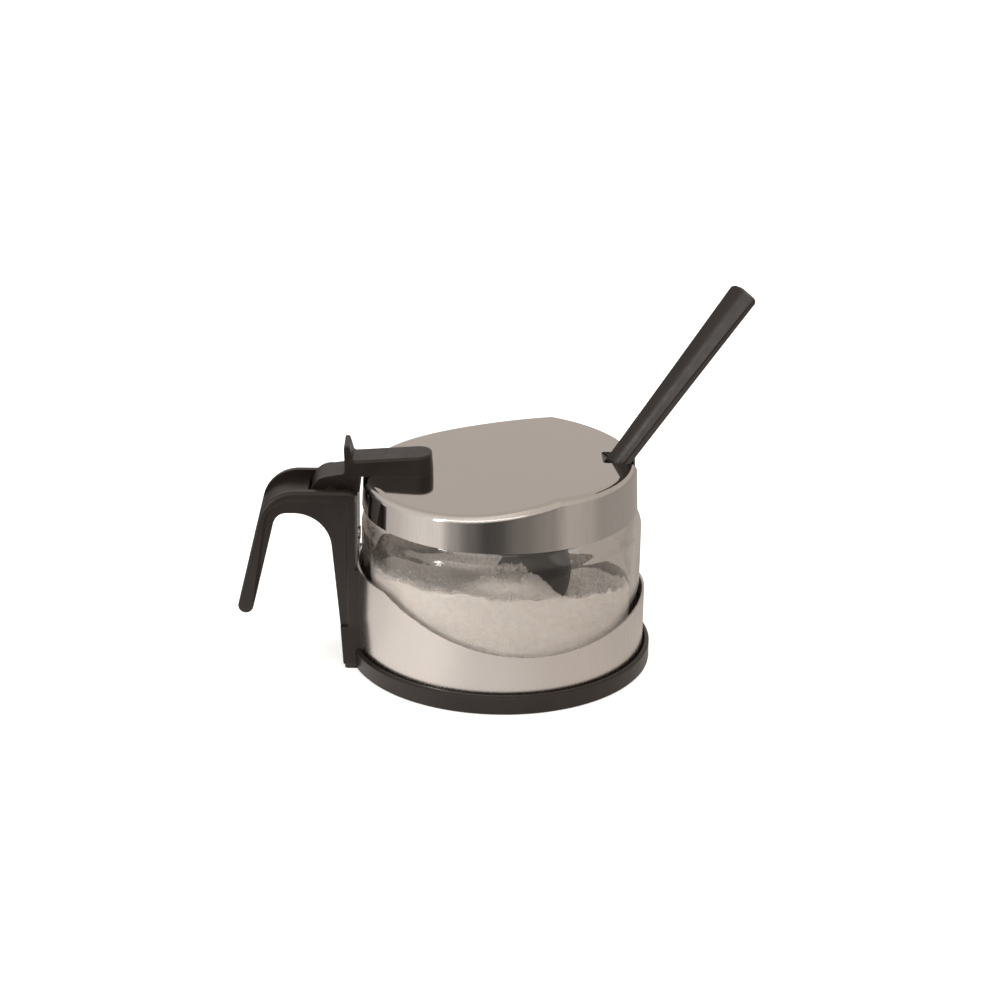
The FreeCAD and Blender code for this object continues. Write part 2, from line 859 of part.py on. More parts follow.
def make_hinge_pin():
    """Straight pin through the far wall and the knuckle into the near wall."""
    pin = cross_rod(pin_radius, -pin_end_y(), handle_half_width - pin_end_inset)
    return pin.makeChamfer(pin_end_bevel, [edge for edge in pin.Edges if edge.Closed])


def headed_screw(shank_radius, head_radius, head_depth, bite):
    """Screw along +Z with the face under its head at z = 0."""
    head = Part.makeCylinder(head_radius, head_depth, Vector(0, 0, -head_depth))
    rim = edges_where(head, lambda point, edge: point.z < close - head_depth and edge.Closed)
    head = head.makeChamfer(head_depth * screw_head_bevel, rim)
    shank = Part.makeCylinder(shank_radius, bite)
    return head.fuse(shank)


def make_sleeve_screw(z):
    """Low-headed screw from inside the sleeve into the column."""
    sleeve_inner = sleeve_radius - sleeve_wall
    head_face = -sleeve_inner
    if z < sleeve_shelf_z:
        head_face = -math.sqrt(sleeve_inner ** 2 - sleeve_screw_head ** 2)
    bite = sleeve_radius + sleeve_screw_bite + head_face
    screw = headed_screw(sleeve_screw_radius, sleeve_screw_head, sleeve_screw_head_depth, bite)
    screw.rotate(Vector(0, 0, 0), Vector(0, 1, 0), -90)
    screw.translate(Vector(head_face, 0, z))
    return screw


def make_base_screw(y):
    """Screw from under the lug up into the column."""
    under_head = base_screw_head_top()
    bite = lug_height + base_screw_bite - under_head
    screw = headed_screw(base_screw_radius, base_screw_head, base_screw_head_depth, bite)
    screw.translate(Vector(base_screw_x, y, under_head))
    return screw


def make_lever_screw(x):
    """Screw from under the lid's plate up into the grip block."""
    screw = headed_screw(
        lever_screw_radius, lever_screw_head, lever_screw_head_depth, lid_sheet + lever_screw_bite)
    screw.translate(Vector(x, 0, plate_z - lid_sheet))
    return screw


# Spoon


def spoon_axes():
    """Unit vectors up the shaft, across its broad face and out of that face."""
    lean = math.radians(spoon_lean_deg)
    turn = math.radians(spoon_turn_deg)
    up = Vector(math.cos(lean), 0, math.sin(lean))
    left = Vector(-math.sin(lean), 0, math.cos(lean))
    near = Vector(0, -1, 0)
    across = left * math.cos(turn) - near * math.sin(turn)
    out = near * math.cos(turn) + left * math.sin(turn)
    return up, across, out


def spoon_place():
    """Placement that takes x across the face, y out of it and z up the shaft, from the slot's point."""
    up, across, out = spoon_axes()
    matrix = Matrix(
        across.x, out.x, up.x, spoon_slot_x,
        across.y, out.y, up.y, 0,
        across.z, out.z, up.z, spoon_slot_z,
        0, 0, 0, 1)
    return FreeCAD.Placement(matrix)


def shaft_section(width, depth, height):
    """Cross-section of the shaft with a gently crowned broad face."""
    half = width / 2
    face = depth / 2 - spoon_crown
    crown_round = width + spoon_crown
    corners = [
        (-half, -depth / 2, spoon_arris),
        (half, -depth / 2, spoon_arris),
        (half, face, spoon_arris),
        (0, depth / 2 + spoon_crown_peak, crown_round),
        (-half, face, spoon_arris),
    ]
    return rounded_wire(corners, lambda x, y: Vector(x, y, height))


def scoop_dish():
    """Oval dish between two spheres, open along +y, about the origin."""
    outer = (scoop_half_length ** 2 + scoop_depth ** 2) / (2 * scoop_depth)
    inner = outer - scoop_wall
    centre = Vector(0, outer - scoop_depth, 0)
    shell = Part.makeSphere(outer, centre).cut(Part.makeSphere(inner, centre))
    oval = Part.Ellipse(
        Vector(0, -2 * scoop_depth, scoop_half_length),
        Vector(scoop_half_width, -2 * scoop_depth, 0),
        Vector(0, -2 * scoop_depth, 0))
    column = Part.Face(Part.Wire([oval.toShape()])).extrude(Vector(0, 3 * scoop_depth, 0))
    return shell.common(column)


def scoop_centre():
    """Height of the scoop's centre along the shaft, from the slot's point."""
    return -scoop_below


def make_spoon():
    """Tapering shaft that widens upwards, blended into a dished oval scoop."""
    neck_height = scoop_centre() + scoop_half_length - spoon_neck_lap
    shaft = Part.makeLoft([
        shaft_section(spoon_neck_width, spoon_neck_depth, neck_height),
        shaft_section(spoon_lid_width, spoon_lid_depth, 0),
        shaft_section(spoon_top_width, spoon_top_depth, spoon_above),
    ], True, False)
    half = spoon_top_width / 2
    end_outline = rounded_wire([
        (-half, neck_height - overcut, 0),
        (half, neck_height - overcut, 0),
        (half, spoon_above, spoon_end_left),
        (-half, spoon_above, spoon_end_right),
    ], lambda x, z: Vector(x, -half, z))
    shaft = shaft.common(Part.Face(end_outline).extrude(Vector(0, 2 * half, 0)))
    scoop = scoop_dish()
    scoop.translate(Vector(0, 0, scoop_centre()))
    spoon = shaft.fuse(scoop)
    spoon.Placement = spoon_place()
    return spoon


def make_scoop_path():
    """Space that the scoop fills or passes as the spoon is drawn out along its shaft."""
    gap = scoop_clearance
    half = scoop_half_width + gap
    low = -scoop_half_length - gap
    corners = [
        (-half, low, scoop_path_corner),
        (half, low, scoop_path_corner),
        (half, tall / 2, 0),
        (-half, tall / 2, 0),
    ]
    outline = rounded_wire(corners, lambda x, z: Vector(x, -scoop_depth - gap, z + scoop_centre()))
    path = Part.Face(outline).extrude(Vector(0, scoop_depth + spoon_lid_depth + 2 * gap, 0))
    path.Placement = spoon_place()
    return path


def save(name, shape):
    """Write one sub-part and say how it came out."""
    shape.exportStep("parts/" + name + ".step")
    box = shape.BoundBox
    print(name, "valid" if shape.isValid() else "INVALID", len(shape.Solids), "solid",
          "volume", round(shape.Volume, 1),
          "x", round(box.XMin, 1), round(box.XMax, 1),
          "y", round(box.YMin, 1), round(box.YMax, 1),
          "z", round(box.ZMin, 1), round(box.ZMax, 1))


os.makedirs("parts", exist_ok=True)
save("base_ring", make_base_ring())
save("steel_sleeve", make_steel_sleeve())
save("handle", make_handle())
save("hinge_pin", make_hinge_pin())
save("sleeve_screw_lower", make_sleeve_screw(sleeve_screw_zs[0]))
save("sleeve_screw_upper", make_sleeve_screw(sleeve_screw_zs[1]))
save("base_screw_front", make_base_screw(-base_screw_y))
save("base_screw_back", make_base_screw(base_screw_y))
save("glass_bowl", make_glass_bowl())
save("grated_cheese", make_grated_cheese(make_scoop_path()))
save("lid_cap", make_lid_cap())
save("lid_lever", make_lid_lever())
save("lever_screw_outer", make_lever_screw(lever_screw_xs[0]))
save("lever_screw_inner", make_lever_screw(lever_screw_xs[1]))
save("spoon", make_spoon())
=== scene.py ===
import bpy
import json
import math
import random

import numpy as np
from mathutils import Matrix, Vector, noise


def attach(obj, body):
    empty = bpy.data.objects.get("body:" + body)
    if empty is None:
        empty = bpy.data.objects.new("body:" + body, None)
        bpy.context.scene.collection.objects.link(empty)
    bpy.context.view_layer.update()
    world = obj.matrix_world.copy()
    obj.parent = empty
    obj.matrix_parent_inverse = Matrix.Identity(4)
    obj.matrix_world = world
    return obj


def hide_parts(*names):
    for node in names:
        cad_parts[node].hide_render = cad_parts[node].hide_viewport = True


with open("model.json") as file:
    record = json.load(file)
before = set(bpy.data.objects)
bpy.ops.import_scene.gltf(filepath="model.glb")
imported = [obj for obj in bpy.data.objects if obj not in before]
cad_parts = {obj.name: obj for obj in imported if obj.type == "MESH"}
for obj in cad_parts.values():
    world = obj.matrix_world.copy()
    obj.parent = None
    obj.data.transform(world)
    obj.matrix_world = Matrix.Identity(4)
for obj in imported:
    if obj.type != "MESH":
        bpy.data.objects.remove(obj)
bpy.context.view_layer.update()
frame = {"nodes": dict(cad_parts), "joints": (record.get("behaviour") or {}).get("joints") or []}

# Sizes below are in millimetres unless they say otherwise; MM turns them into metres.
MM = 0.001


# Camera

CAMERA_TURN = -0.9       # degrees from looking along +Y
CAMERA_RISE = 21.2       # degrees above the horizon
CAMERA_ROLL = 0.92       # degrees
CAMERA_DISTANCE = 850
CAMERA_LENS = 83.23      # on a 36 mm sensor
CAMERA_TARGET = (-0.69, 60.19)   # sideways and up


def make_camera():
    turn, rise, roll = (math.radians(a) for a in (CAMERA_TURN, CAMERA_RISE, CAMERA_ROLL))
    back = Vector((math.sin(turn) * math.cos(rise), -math.cos(turn) * math.cos(rise), math.sin(rise)))
    level = Vector((math.cos(turn), math.sin(turn), 0))
    upward = back.cross(level)
    right = level * math.cos(roll) + upward * math.sin(roll)
    up = upward * math.cos(roll) - level * math.sin(roll)
    aside, above = CAMERA_TARGET
    target = Vector((aside * math.cos(turn), aside * math.sin(turn), above)) * MM
    place = target + back * CAMERA_DISTANCE * MM
    data = bpy.data.cameras.new("view")
    data.lens = CAMERA_LENS
    data.sensor_width = 36
    data.clip_start, data.clip_end = 0.01, 100
    camera = bpy.data.objects.new("view", data)
    bpy.context.scene.collection.objects.link(camera)
    matrix = Matrix((right, up, back)).transposed().to_4x4()
    matrix.translation = place
    camera.matrix_world = matrix
    bpy.context.scene.camera = camera


# Node helpers

def node(tree, kind, inputs=None, **settings):
    made = tree.nodes.new("ShaderNode" + kind)
    for key, value in settings.items():
        setattr(made, key, value)
    for key, value in (inputs or {}).items():
        if isinstance(value, bpy.types.NodeSocket):
            tree.links.new(value, made.inputs[key])
        else:
            made.inputs[key].default_value = value
    return made


def ramp(tree, factor, stops, mode="LINEAR"):
    made = node(tree, "ValToRGB", {"Fac": factor})
    made.color_ramp.interpolation = mode
    elements = made.color_ramp.elements
    while len(elements) < len(stops):
        elements.new(0.5)
    for element, (position, colour) in zip(elements, stops):
        element.position = position
        grey = not isinstance(colour, tuple)
        element.color = (colour, colour, colour, 1) if grey else (*colour, 1)
    return made.outputs["Color"]


def math_node(tree, operation, a, b=0.0, clamp=False):
    return node(tree, "Math", {0: a, 1: b}, operation=operation, use_clamp=clamp).outputs[0]


def coordinates(tree, scale=(1, 1, 1)):
    place = node(tree, "TexCoord").outputs["Object"]
    return node(tree, "Mapping", {"Vector": place, "Scale": scale}).outputs[0]


def clouds(tree, place, scale, detail=2.0, rough=0.5):
    return node(tree, "TexNoise", {"Vector": place, "Scale": scale, "Detail": detail,
                                   "Roughness": rough}).outputs["Fac"]


def bump(tree, height, distance, strength=1.0):
    return node(tree, "Bump", {"Height": height, "Strength": strength,
                               "Distance": distance * MM}).outputs["Normal"]


def material(name, **values):
    made = bpy.data.materials.new(name)
    made.use_nodes = True
    tree = made.node_tree
    tree.nodes.clear()
    output = node(tree, "OutputMaterial")
    body = node(tree, "BsdfPrincipled")
    for key, value in values.items():
        body.inputs[key.replace("_", " ")].default_value = value
    tree.links.new(body.outputs[0], output.inputs["Surface"])
    return made, tree, body


def edge_mask(tree, radius):
    """1 on the outer and inner edges of a hard piece, 0 on its faces."""
    soft = node(tree, "Bevel", {"Radius": radius * MM}, samples=4).outputs[0]
    true = node(tree, "NewGeometry").outputs["Normal"]
    same = node(tree, "VectorMath", {0: soft, 1: true}, operation="DOT_PRODUCT").outputs["Value"]
    return math_node(tree, "MULTIPLY", math_node(tree, "SUBTRACT", 1.0, same), 6.0, clamp=True)


# Materials

def black_plastic(name, roughness=0.34):
    made, tree, body = material(name, IOR=1.42)
    place = coordinates(tree)
    patches = clouds(tree, place, 55, 4.0)
    # edges painted lighter: partly rubbed wear, partly a painted edge highlight, broken up by scuffs
    rubbed_edges_and_sheen = edge_mask(tree, 0.5)
    scuffs = clouds(tree, place, 900, 3.0, 0.7)
    rubbed_edges_and_sheen = math_node(tree, "MULTIPLY", rubbed_edges_and_sheen, scuffs)
    dark = ramp(tree, patches, [(0.3, (0.0125, 0.0085, 0.0068)), (0.7, (0.0175, 0.0125, 0.0102))])
    colour = node(tree, "Mix", {0: rubbed_edges_and_sheen, 6: dark, 7: (0.055, 0.044, 0.038, 1)}, data_type="RGBA")
    tree.links.new(colour.outputs[2], body.inputs["Base Color"])
    gloss = ramp(tree, clouds(tree, place, 260, 5.0, 0.6),
                 [(0.3, roughness - 0.05), (0.75, roughness + 0.07)])
    tree.links.new(gloss, body.inputs["Roughness"])
    grain = clouds(tree, place, 2600, 2.0)
    tree.links.new(bump(tree, grain, 0.012), body.inputs["Normal"])
    return made


def steel_streaks(tree, across, along):
    """Fine streaks that run along Z on an upright sheet."""
    return clouds(tree, coordinates(tree, (across, across, along)), 1.0, 3.0, 0.6)


def brushed_steel(name, base, roughness, streak_bump, anisotropy, contrast=1.0):
    made, tree, body = material(name, Metallic=1.0, Anisotropic=anisotropy)
    body.inputs["Anisotropic Rotation"].default_value = 0.25
    tangent = node(tree, "Tangent", direction_type="RADIAL", axis="Z").outputs[0]
    tree.links.new(tangent, body.inputs["Tangent"])
    fine = steel_streaks(tree, 2600, 70)
    wide = steel_streaks(tree, 420, 9)
    both = math_node(tree, "ADD", math_node(tree, "MULTIPLY", fine, 0.6),
                     math_node(tree, "MULTIPLY", wide, 0.4))
    low = tuple(c * (1 - 0.07 * contrast) for c in base)
    high = tuple(c * (1 + 0.05 * contrast) for c in base)
    tree.links.new(ramp(tree, both, [(0.3, low), (0.7, high)]), body.inputs["Base Color"])
    gloss = ramp(tree, both, [(0.3, roughness * 0.85), (0.7, roughness * 1.15)])
    tree.links.new(gloss, body.inputs["Roughness"])
    tree.links.new(bump(tree, both, streak_bump), body.inputs["Normal"])
    return made


def mirror_steel(name, base, roughness):
    made, tree, body = material(name, Metallic=1.0)
    place = coordinates(tree)
    smudge = clouds(tree, place, 38, 4.0, 0.6)
    lines = clouds(tree, coordinates(tree, (40, 2200, 40)), 1.0, 3.0)
    tint = ramp(tree, smudge, [(0.3, tuple(c * 0.985 for c in base)), (0.7, base)])
    tree.links.new(tint, body.inputs["Base Color"])
    gloss = math_node(tree, "ADD", ramp(tree, smudge, [(0.3, roughness), (0.75, roughness * 1.35)]),
                      math_node(tree, "MULTIPLY", lines, 0.02))
    tree.links.new(gloss, body.inputs["Roughness"])
    tree.links.new(bump(tree, lines, 0.0004), body.inputs["Normal"])
    return made


def clear_glass(name):
    made, tree, body = material(name, Roughness=0.0, IOR=1.47)
    body.inputs["Transmission Weight"].default_value = 1.0
    place = coordinates(tree)
    tint = ramp(tree, clouds(tree, place, 30, 2.0), [(0.3, (0.87, 0.845, 0.825)), (0.7, (0.885, 0.86, 0.84))])
    tree.links.new(tint, body.inputs["Base Color"])
    ripple = clouds(tree, place, 45, 1.0)
    tree.links.new(bump(tree, ripple, 0.05), body.inputs["Normal"])
    return made


def cheese_material(name):
    made, tree, body = material(name, Roughness=0.62)
    body.inputs["Subsurface Weight"].default_value = 0.35
    body.inputs["Subsurface Radius"].default_value = (1.0, 0.75, 0.5)
    body.inputs["Subsurface Scale"].default_value = 0.0012
    place = coordinates(tree)
    tint = ramp(tree, clouds(tree, place, 420, 5.0, 0.65),
                [(0.3, (0.82, 0.78, 0.73)), (0.55, (0.90, 0.875, 0.845)), (0.75, (0.93, 0.915, 0.895))])
    tree.links.new(tint, body.inputs["Base Color"])
    lumps = clouds(tree, place, 1500, 3.0, 0.6)
    tree.links.new(bump(tree, lumps, 0.35), body.inputs["Normal"])
    return made


def floor_material(name):
    """White table lit a little from below, as for cut-out product pictures."""
    made, tree, body = material(name, Roughness=0.85)
    place = coordinates(tree)
    tint = ramp(tree, clouds(tree, place, 3, 3.0), [(0.3, (0.83, 0.83, 0.83)), (0.7, (0.845, 0.845, 0.845))])
    tree.links.new(tint, body.inputs["Base Color"])
    tree.links.new(bump(tree, clouds(tree, place, 900, 2.0), 0.02), body.inputs["Normal"])
    body.inputs["Specular IOR Level"].default_value = 0.2
    body.inputs["Emission Color"].default_value = (1, 1, 1, 1)
    body.inputs["Emission Strength"].default_value = 0.55
    return made


def card_material(name):
    made, tree, body = material(name, Roughness=1.0)
    split = node(tree, "SeparateXYZ", {0: node(tree, "TexCoord").outputs["Object"]})
    tree.links.new(around_ramp(tree, split, CARD_GLOW), body.inputs["Emission Color"])
    body.inputs["Base Color"].default_value = (0, 0, 0, 1)
    body.inputs["Emission Strength"].default_value = 1.0
    return made


# Studio

STUDIO_LOW = [
    # degrees from the viewer's side, towards the spoon; radiance that the lid's skirt mirrors
    (-180, 0.45), (-176, 0.80), (-168, 0.30), (-153, 0.10), (-127, 0.24), (-106, 0.66), (-67, 1.00),
    (-52, 0.98), (-40, 0.46), (-25, 0.19), (-11, 0.085), (-2, 0.095), (15, 0.22), (42, 0.35), (60, 0.60),
    (76, 0.55), (92, 0.43), (140, 0.43), (165, 0.42), (180, 0.45),
]
STUDIO_HIGH = [(-180, 0.63), (-140, 0.63), (-90, 0.85), (-40, 1.1), (30, 0.75), (110, 0.63), (180, 0.63)]
STUDIO_WARM = (1.0, 0.935, 0.875)
STUDIO_AMBER = (0.0, 0.03, 0.055)    # taken off on the spoon's side
CARD_GLOW = [
    # the same for the sleeve, which mirrors the table close by
    (-180, 0.12), (-140, 0.45), (-110, 0.78), (-90, 0.86), (-62, 1.06), (-40, 1.10), (-10, 0.84), (38, 0.68),
    (90, 0.60), (128, 0.47), (160, 0.40), (175, 0.12), (180, 0.12),
]


def around_ramp(tree, split, stops):
    """Warm light that changes with the side it comes from."""
    around = math_node(tree, "ARCTAN2", split.outputs["X"],
                       math_node(tree, "MULTIPLY", split.outputs["Y"], -1.0))
    turn = math_node(tree, "ADD", math_node(tree, "DIVIDE", around, 2 * math.pi), 0.5)
    colours = []
    for angle, value in stops:
        amber = 1.0 if 10 < angle < 170 else 0.0
        colour = tuple(value * (warm - amber * less) for warm, less in zip(STUDIO_WARM, STUDIO_AMBER))
        colours.append((angle / 360 + 0.5, colour))
    return ramp(tree, turn, colours, "EASE")


def make_world():
    world = bpy.data.worlds.new("studio")
    bpy.context.scene.world = world
    world.use_nodes = True
    tree = world.node_tree
    tree.nodes.clear()
    direction = node(tree, "TexCoord").outputs["Generated"]
    split = node(tree, "SeparateXYZ", {0: direction})
    low = around_ramp(tree, split, STUDIO_LOW)
    high = around_ramp(tree, split, STUDIO_HIGH)
    rise = ramp(tree, split.outputs["Z"], [(0.03, 0.0), (0.25, 1.0)], "EASE")
    light = node(tree, "Mix", {0: rise, 6: low, 7: high}, data_type="RGBA").outputs[2]
    sky = node(tree, "Background", {"Color": light, "Strength": 1.0})
    output = node(tree, "OutputWorld")
    tree.links.new(sky.outputs[0], output.inputs["Surface"])


def add_light(name, place, target, size, energy, colour=(1, 1, 1)):
    data = bpy.data.lights.new(name, "AREA")
    data.shape = "RECTANGLE"
    data.size, data.size_y = size
    data.energy = energy
    data.color = colour
    lamp = bpy.data.objects.new(name, data)
    bpy.context.scene.collection.objects.link(lamp)
    lamp.location = place
    lamp.rotation_mode = "QUATERNION"
    lamp.rotation_quaternion = (Vector(target) - Vector(place)).to_track_quat("-Z", "Y")
    lamp.visible_camera = False
    return lamp


def mesh_object(name, verts, faces, surface, smooth=True):
    mesh = bpy.data.meshes.new(name)
    mesh.from_pydata([tuple(v) for v in verts], [], faces)
    mesh.validate()
    mesh.update()
    if smooth:
        mesh.shade_smooth()
    made = bpy.data.objects.new(name, mesh)
    bpy.context.scene.collection.objects.link(made)
    mesh.materials.append(surface)
    return made


FLOOR_HALF = 6.0          # metres
CARD_INNER = 0.0565       # metres
CARD_OUTER = 0.17         # metres
CARD_LIFT = 0.0002        # metres


def make_floor():
    """A wide white floor, and a ring on it that only shows as a reflection in the steel."""
    corners = [(-1, -1), (1, -1), (1, 1), (-1, 1)]
    wide = mesh_object("floor", [(x * FLOOR_HALF, y * FLOOR_HALF, 0) for x, y in corners], [(0, 1, 2, 3)],
                       floor_material("pale_floor"), smooth=False)
    wide.visible_glossy = False
    wide.visible_transmission = False
    sides = 96
    ring = []
    for radius in (CARD_INNER, CARD_OUTER):
        for i in range(sides):
            turn = 2 * math.pi * i / sides
            ring.append((radius * math.cos(turn), radius * math.sin(turn), CARD_LIFT))
    faces = [(i, sides + i, sides + (i + 1) % sides, (i + 1) % sides) for i in range(sides)]
    card = mesh_object("reflected_card", ring, faces, card_material("card_glow"), smooth=False)
    for ray in ("camera", "diffuse", "transmission", "shadow"):
        setattr(card, "visible_" + ray, False)


def make_lights():
    soft = [
        add_light("key", (-0.62, -0.85, 0.52), (0, 0, 0.04), (0.55, 0.4), 1.4, (1.0, 0.965, 0.93)),
        add_light("top", (0.1, 0.15, 1.2), (0, 0, 0.04), (0.9, 0.9), 5.0, (1.0, 0.96, 0.92)),
        add_light("fill", (0.9, -0.5, 0.6), (0, 0, 0.04), (0.5, 0.6), 1.2, (1.0, 0.96, 0.92)),
    ]
    for lamp in soft:
        lamp.visible_glossy = False
    add_light("strip", (-0.40, -1.05, 0.72), (0, 0, 0.06), (1.5, 0.2), 1.1, (1.0, 0.965, 0.93))
    spark = add_light("spark", (-0.82, -0.64, 0.34), (0.06, 0, 0.15), (0.09, 0.34), 1.7, (1.0, 0.975, 0.95))
    spark.visible_diffuse = False


# Glass bowl

GLASS_RADIUS = 51.5
GLASS_WALL = 3.0
GLASS_BOTTOM = 2.4
GLASS_FLOOR = 4.0
GLASS_ROUND = 15.0
GLASS_SHOULDER = 53.5
GLASS_NECK = 59.0
GLASS_STEP = 3.1
GLASS_RIM = 70.3
GLASS_RIM_ROUND = 0.9
GLASS_FOOT_RADIUS = 32.0
GLASS_FOOT_DEPTH = 0.7
GLASS_SIDES = 288


def arc(centre_r, centre_z, radius, start, end, steps):
    """Points of an arc in the section, angles in degrees."""
    points = []
    for i in range(steps + 1):
        turn = math.radians(start + (end - start) * i / steps)
        points.append((centre_r + radius * math.cos(turn), centre_z + radius * math.sin(turn)))
    return points


def shoulder(side_radius, low, high, steps):
    """Rounded step from the side in to the neck."""
    points = []
    for i in range(steps + 1):
        f = i / steps
        fall = 0.5 - 0.5 * math.cos(math.pi * f ** 1.25)
        points.append((side_radius - GLASS_STEP * fall, low + (high - low) * f))
    return points


def glass_section():
    inside = GLASS_RADIUS - GLASS_WALL
    floor_z = GLASS_BOTTOM + GLASS_FLOOR
    inner_round = GLASS_ROUND - GLASS_WALL
    lip = GLASS_RIM_ROUND
    neck = GLASS_RADIUS - GLASS_STEP
    foot = GLASS_BOTTOM + GLASS_FOOT_DEPTH
    points = [(GLASS_FOOT_RADIUS - 1.5, foot), (GLASS_FOOT_RADIUS, GLASS_BOTTOM)]
    points += arc(GLASS_RADIUS - GLASS_ROUND, GLASS_BOTTOM + GLASS_ROUND, GLASS_ROUND, -90, 0, 18)
    points += shoulder(GLASS_RADIUS, GLASS_SHOULDER - 1.5, GLASS_NECK + 0.5, 14)
    points += arc(neck - lip, GLASS_RIM - lip, lip, 0, 90, 5)
    points += arc(neck - GLASS_WALL + lip, GLASS_RIM - lip, lip, 90, 180, 5)
    points += list(reversed(shoulder(inside, GLASS_SHOULDER - 3, GLASS_NECK - 1, 14)))
    points += list(reversed(arc(inside - inner_round, floor_z + inner_round, inner_round, -90, 0, 18)))
    return points, foot, floor_z


def turned_mesh(name, section, first_z, last_z, sides, surface):
    """Closed lathe body whose section runs from the axis below to the axis above."""
    verts, faces = [Vector((0, 0, first_z))], []
    for radius, z in section:
        for i in range(sides):
            turn = 2 * math.pi * i / sides
            verts.append(Vector((radius * math.cos(turn), radius * math.sin(turn), z)))
    verts.append(Vector((0, 0, last_z)))
    last = len(verts) - 1
    top_ring = 1 + (len(section) - 1) * sides
    for i in range(sides):
        j = (i + 1) % sides
        faces.append((0, 1 + j, 1 + i))
        faces.append((last, top_ring + i, top_ring + j))
        for k in range(len(section) - 1):
            a, b = 1 + k * sides, 1 + (k + 1) * sides
            faces.append((a + i, a + j, b + j, b + i))
    return mesh_object(name, [v * MM for v in verts], faces, surface)


def make_glass(surface):
    section, foot, floor_z = glass_section()
    return turned_mesh("glass_wall", section, foot, floor_z, GLASS_SIDES, surface)


# Cheese

GLASS_INSIDE = 48.5
CHEESE_RADIUS = 48.2
CHEESE_BOTTOM = 6.8
CHEESE_FOOT = 11.6        # radius of the round between the bottom and the wall
WALL_HEIGHT = 41.5
BACK_HEIGHT = 20.0
SLOPE = 0.9
HOLLOW_X, HOLLOW_Y = 4.0, 16.0
HOLLOW_RADIUS = 36.8
MOUND_X, MOUND_Y = 4.0, -27.0
MOUND_HEIGHT = 42.6
MOUND_TOP = 9.0
SPOON_TURN = 42.0         # degrees
SCOOP_HALF_WIDTH = 15.6
SCOOP_LOW = -22.6
SCOOP_BACK = -6.1
SCOOP_FRONT = 5.6
SLOT_POINT = Vector((43.0, 0.0, 77.0))
SCOOP_BELOW = 60.0

spoon_joint = next(j for j in frame["joints"] if j["name"] == "spoon_slide")
SPOON_AXIS = Vector(spoon_joint["axis"]).normalized()


def smooth_step(low, high, value):
    t = min(1.0, max(0.0, (value - low) / (high - low)))
    return t * t * (3 - 2 * t)


def rough(x, y, z, size):
    return noise.noise(Vector((x, y, z)) / size)


def heap_height(x, y):
    """Height of the cheese's surface above the table: ridge at the front, hollow behind, mound."""
    angle = math.degrees(math.atan2(x, -y))
    ridge = WALL_HEIGHT + 1.3 * math.exp(-((angle + 17) / 13) ** 2) - 0.7 * math.exp(-((angle - 26) / 12) ** 2)
    away = math.hypot(x - HOLLOW_X, y - HOLLOW_Y)
    slope = BACK_HEIGHT + SLOPE * softened(away - HOLLOW_RADIUS, 4.0)
    bank = ridge - softened(ridge - slope, 1.2)
    beside = (x - MOUND_X) / (0.8 if x > MOUND_X else 1.0)
    from_mound = math.hypot(beside, y - MOUND_Y)
    mound = MOUND_HEIGHT - SLOPE * softened(from_mound - MOUND_TOP, 2.0)
    base = bank + softened(mound - bank, 1.2)
    lumps = 1.1 * rough(x, y, 0, 7.0) + 0.9 * rough(x, y, 9, 2.6) + 0.45 * rough(x, y, 4, 1.1)
    return base + lumps


def softened(value, width):
    """The positive part of a value, rounded at the turn."""
    return 0.5 * (value + math.sqrt(value * value + width * width)) - 0.15 * width


def make_heap(surface):
    sides, rings, rows = 300, 56, 46
    verts, faces = [], []

    def ring(points):
        start = len(verts)
        verts.extend(points)
        return start

    def band(a, b):
        for i in range(sides):
            j = (i + 1) % sides
            faces.append((a + i, a + j, b + j, b + i))

    angles = [2 * math.pi * i / sides for i in range(sides)]
    bottom = ring([Vector((20 * math.cos(t), 20 * math.sin(t), CHEESE_BOTTOM)) for t in angles])
    faces.append(tuple(reversed(range(bottom, bottom + sides))))
    before = bottom
    steps = 8
    for k in range(steps + 1):
        u = math.radians(-90 + 90 * k / steps)
        r = CHEESE_RADIUS - CHEESE_FOOT + CHEESE_FOOT * math.cos(u)
        z = CHEESE_BOTTOM + CHEESE_FOOT + CHEESE_FOOT * math.sin(u)
        points = []
        for t in angles:
            inward = 0.25 * max(0.0, rough(r * math.cos(t), r * math.sin(t), z, 1.6))
            points.append(Vector(((r - inward) * math.cos(t), (r - inward) * math.sin(t), z)))
        now = ring(points)
        band(before, now)
        before = now
    wall_low = CHEESE_BOTTOM + CHEESE_FOOT
    tops = [heap_height((CHEESE_RADIUS - 0.6) * math.cos(t), (CHEESE_RADIUS - 0.6) * math.sin(t)) for t in angles]
    for k in range(1, rows + 1):
        f = k / rows
        points = []
        for t, top in zip(angles, tops):
            z = wall_low + (top - 0.4 - wall_low) * f
            x, y = CHEESE_RADIUS * math.cos(t), CHEESE_RADIUS * math.sin(t)
            inward = 0.3 * max(0.0, rough(x, y, z, 1.5)) + 0.5 * max(0.0, rough(x, y, z, 6.0))
            points.append(Vector(((CHEESE_RADIUS - inward) * math.cos(t),
                                  (CHEESE_RADIUS - inward) * math.sin(t), z)))
        now = ring(points)
        band(before, now)
        before = now
    for k in range(1, rings):
        r = (CHEESE_RADIUS - 0.6) * (1 - k / rings)
        now = ring([Vector((r * math.cos(t), r * math.sin(t), heap_height(r * math.cos(t), r * math.sin(t))))
                    for t in angles])
        band(before, now)
        before = now
    centre = len(verts)
    verts.append(Vector((0, 0, heap_height(0, 0))))
    for i in range(sides):
        faces.append((before + i, before + (i + 1) % sides, centre))
    heap = mesh_object("cheese_heap", [v * MM for v in verts], faces, surface)
    cut_for_scoop(heap)
    return heap


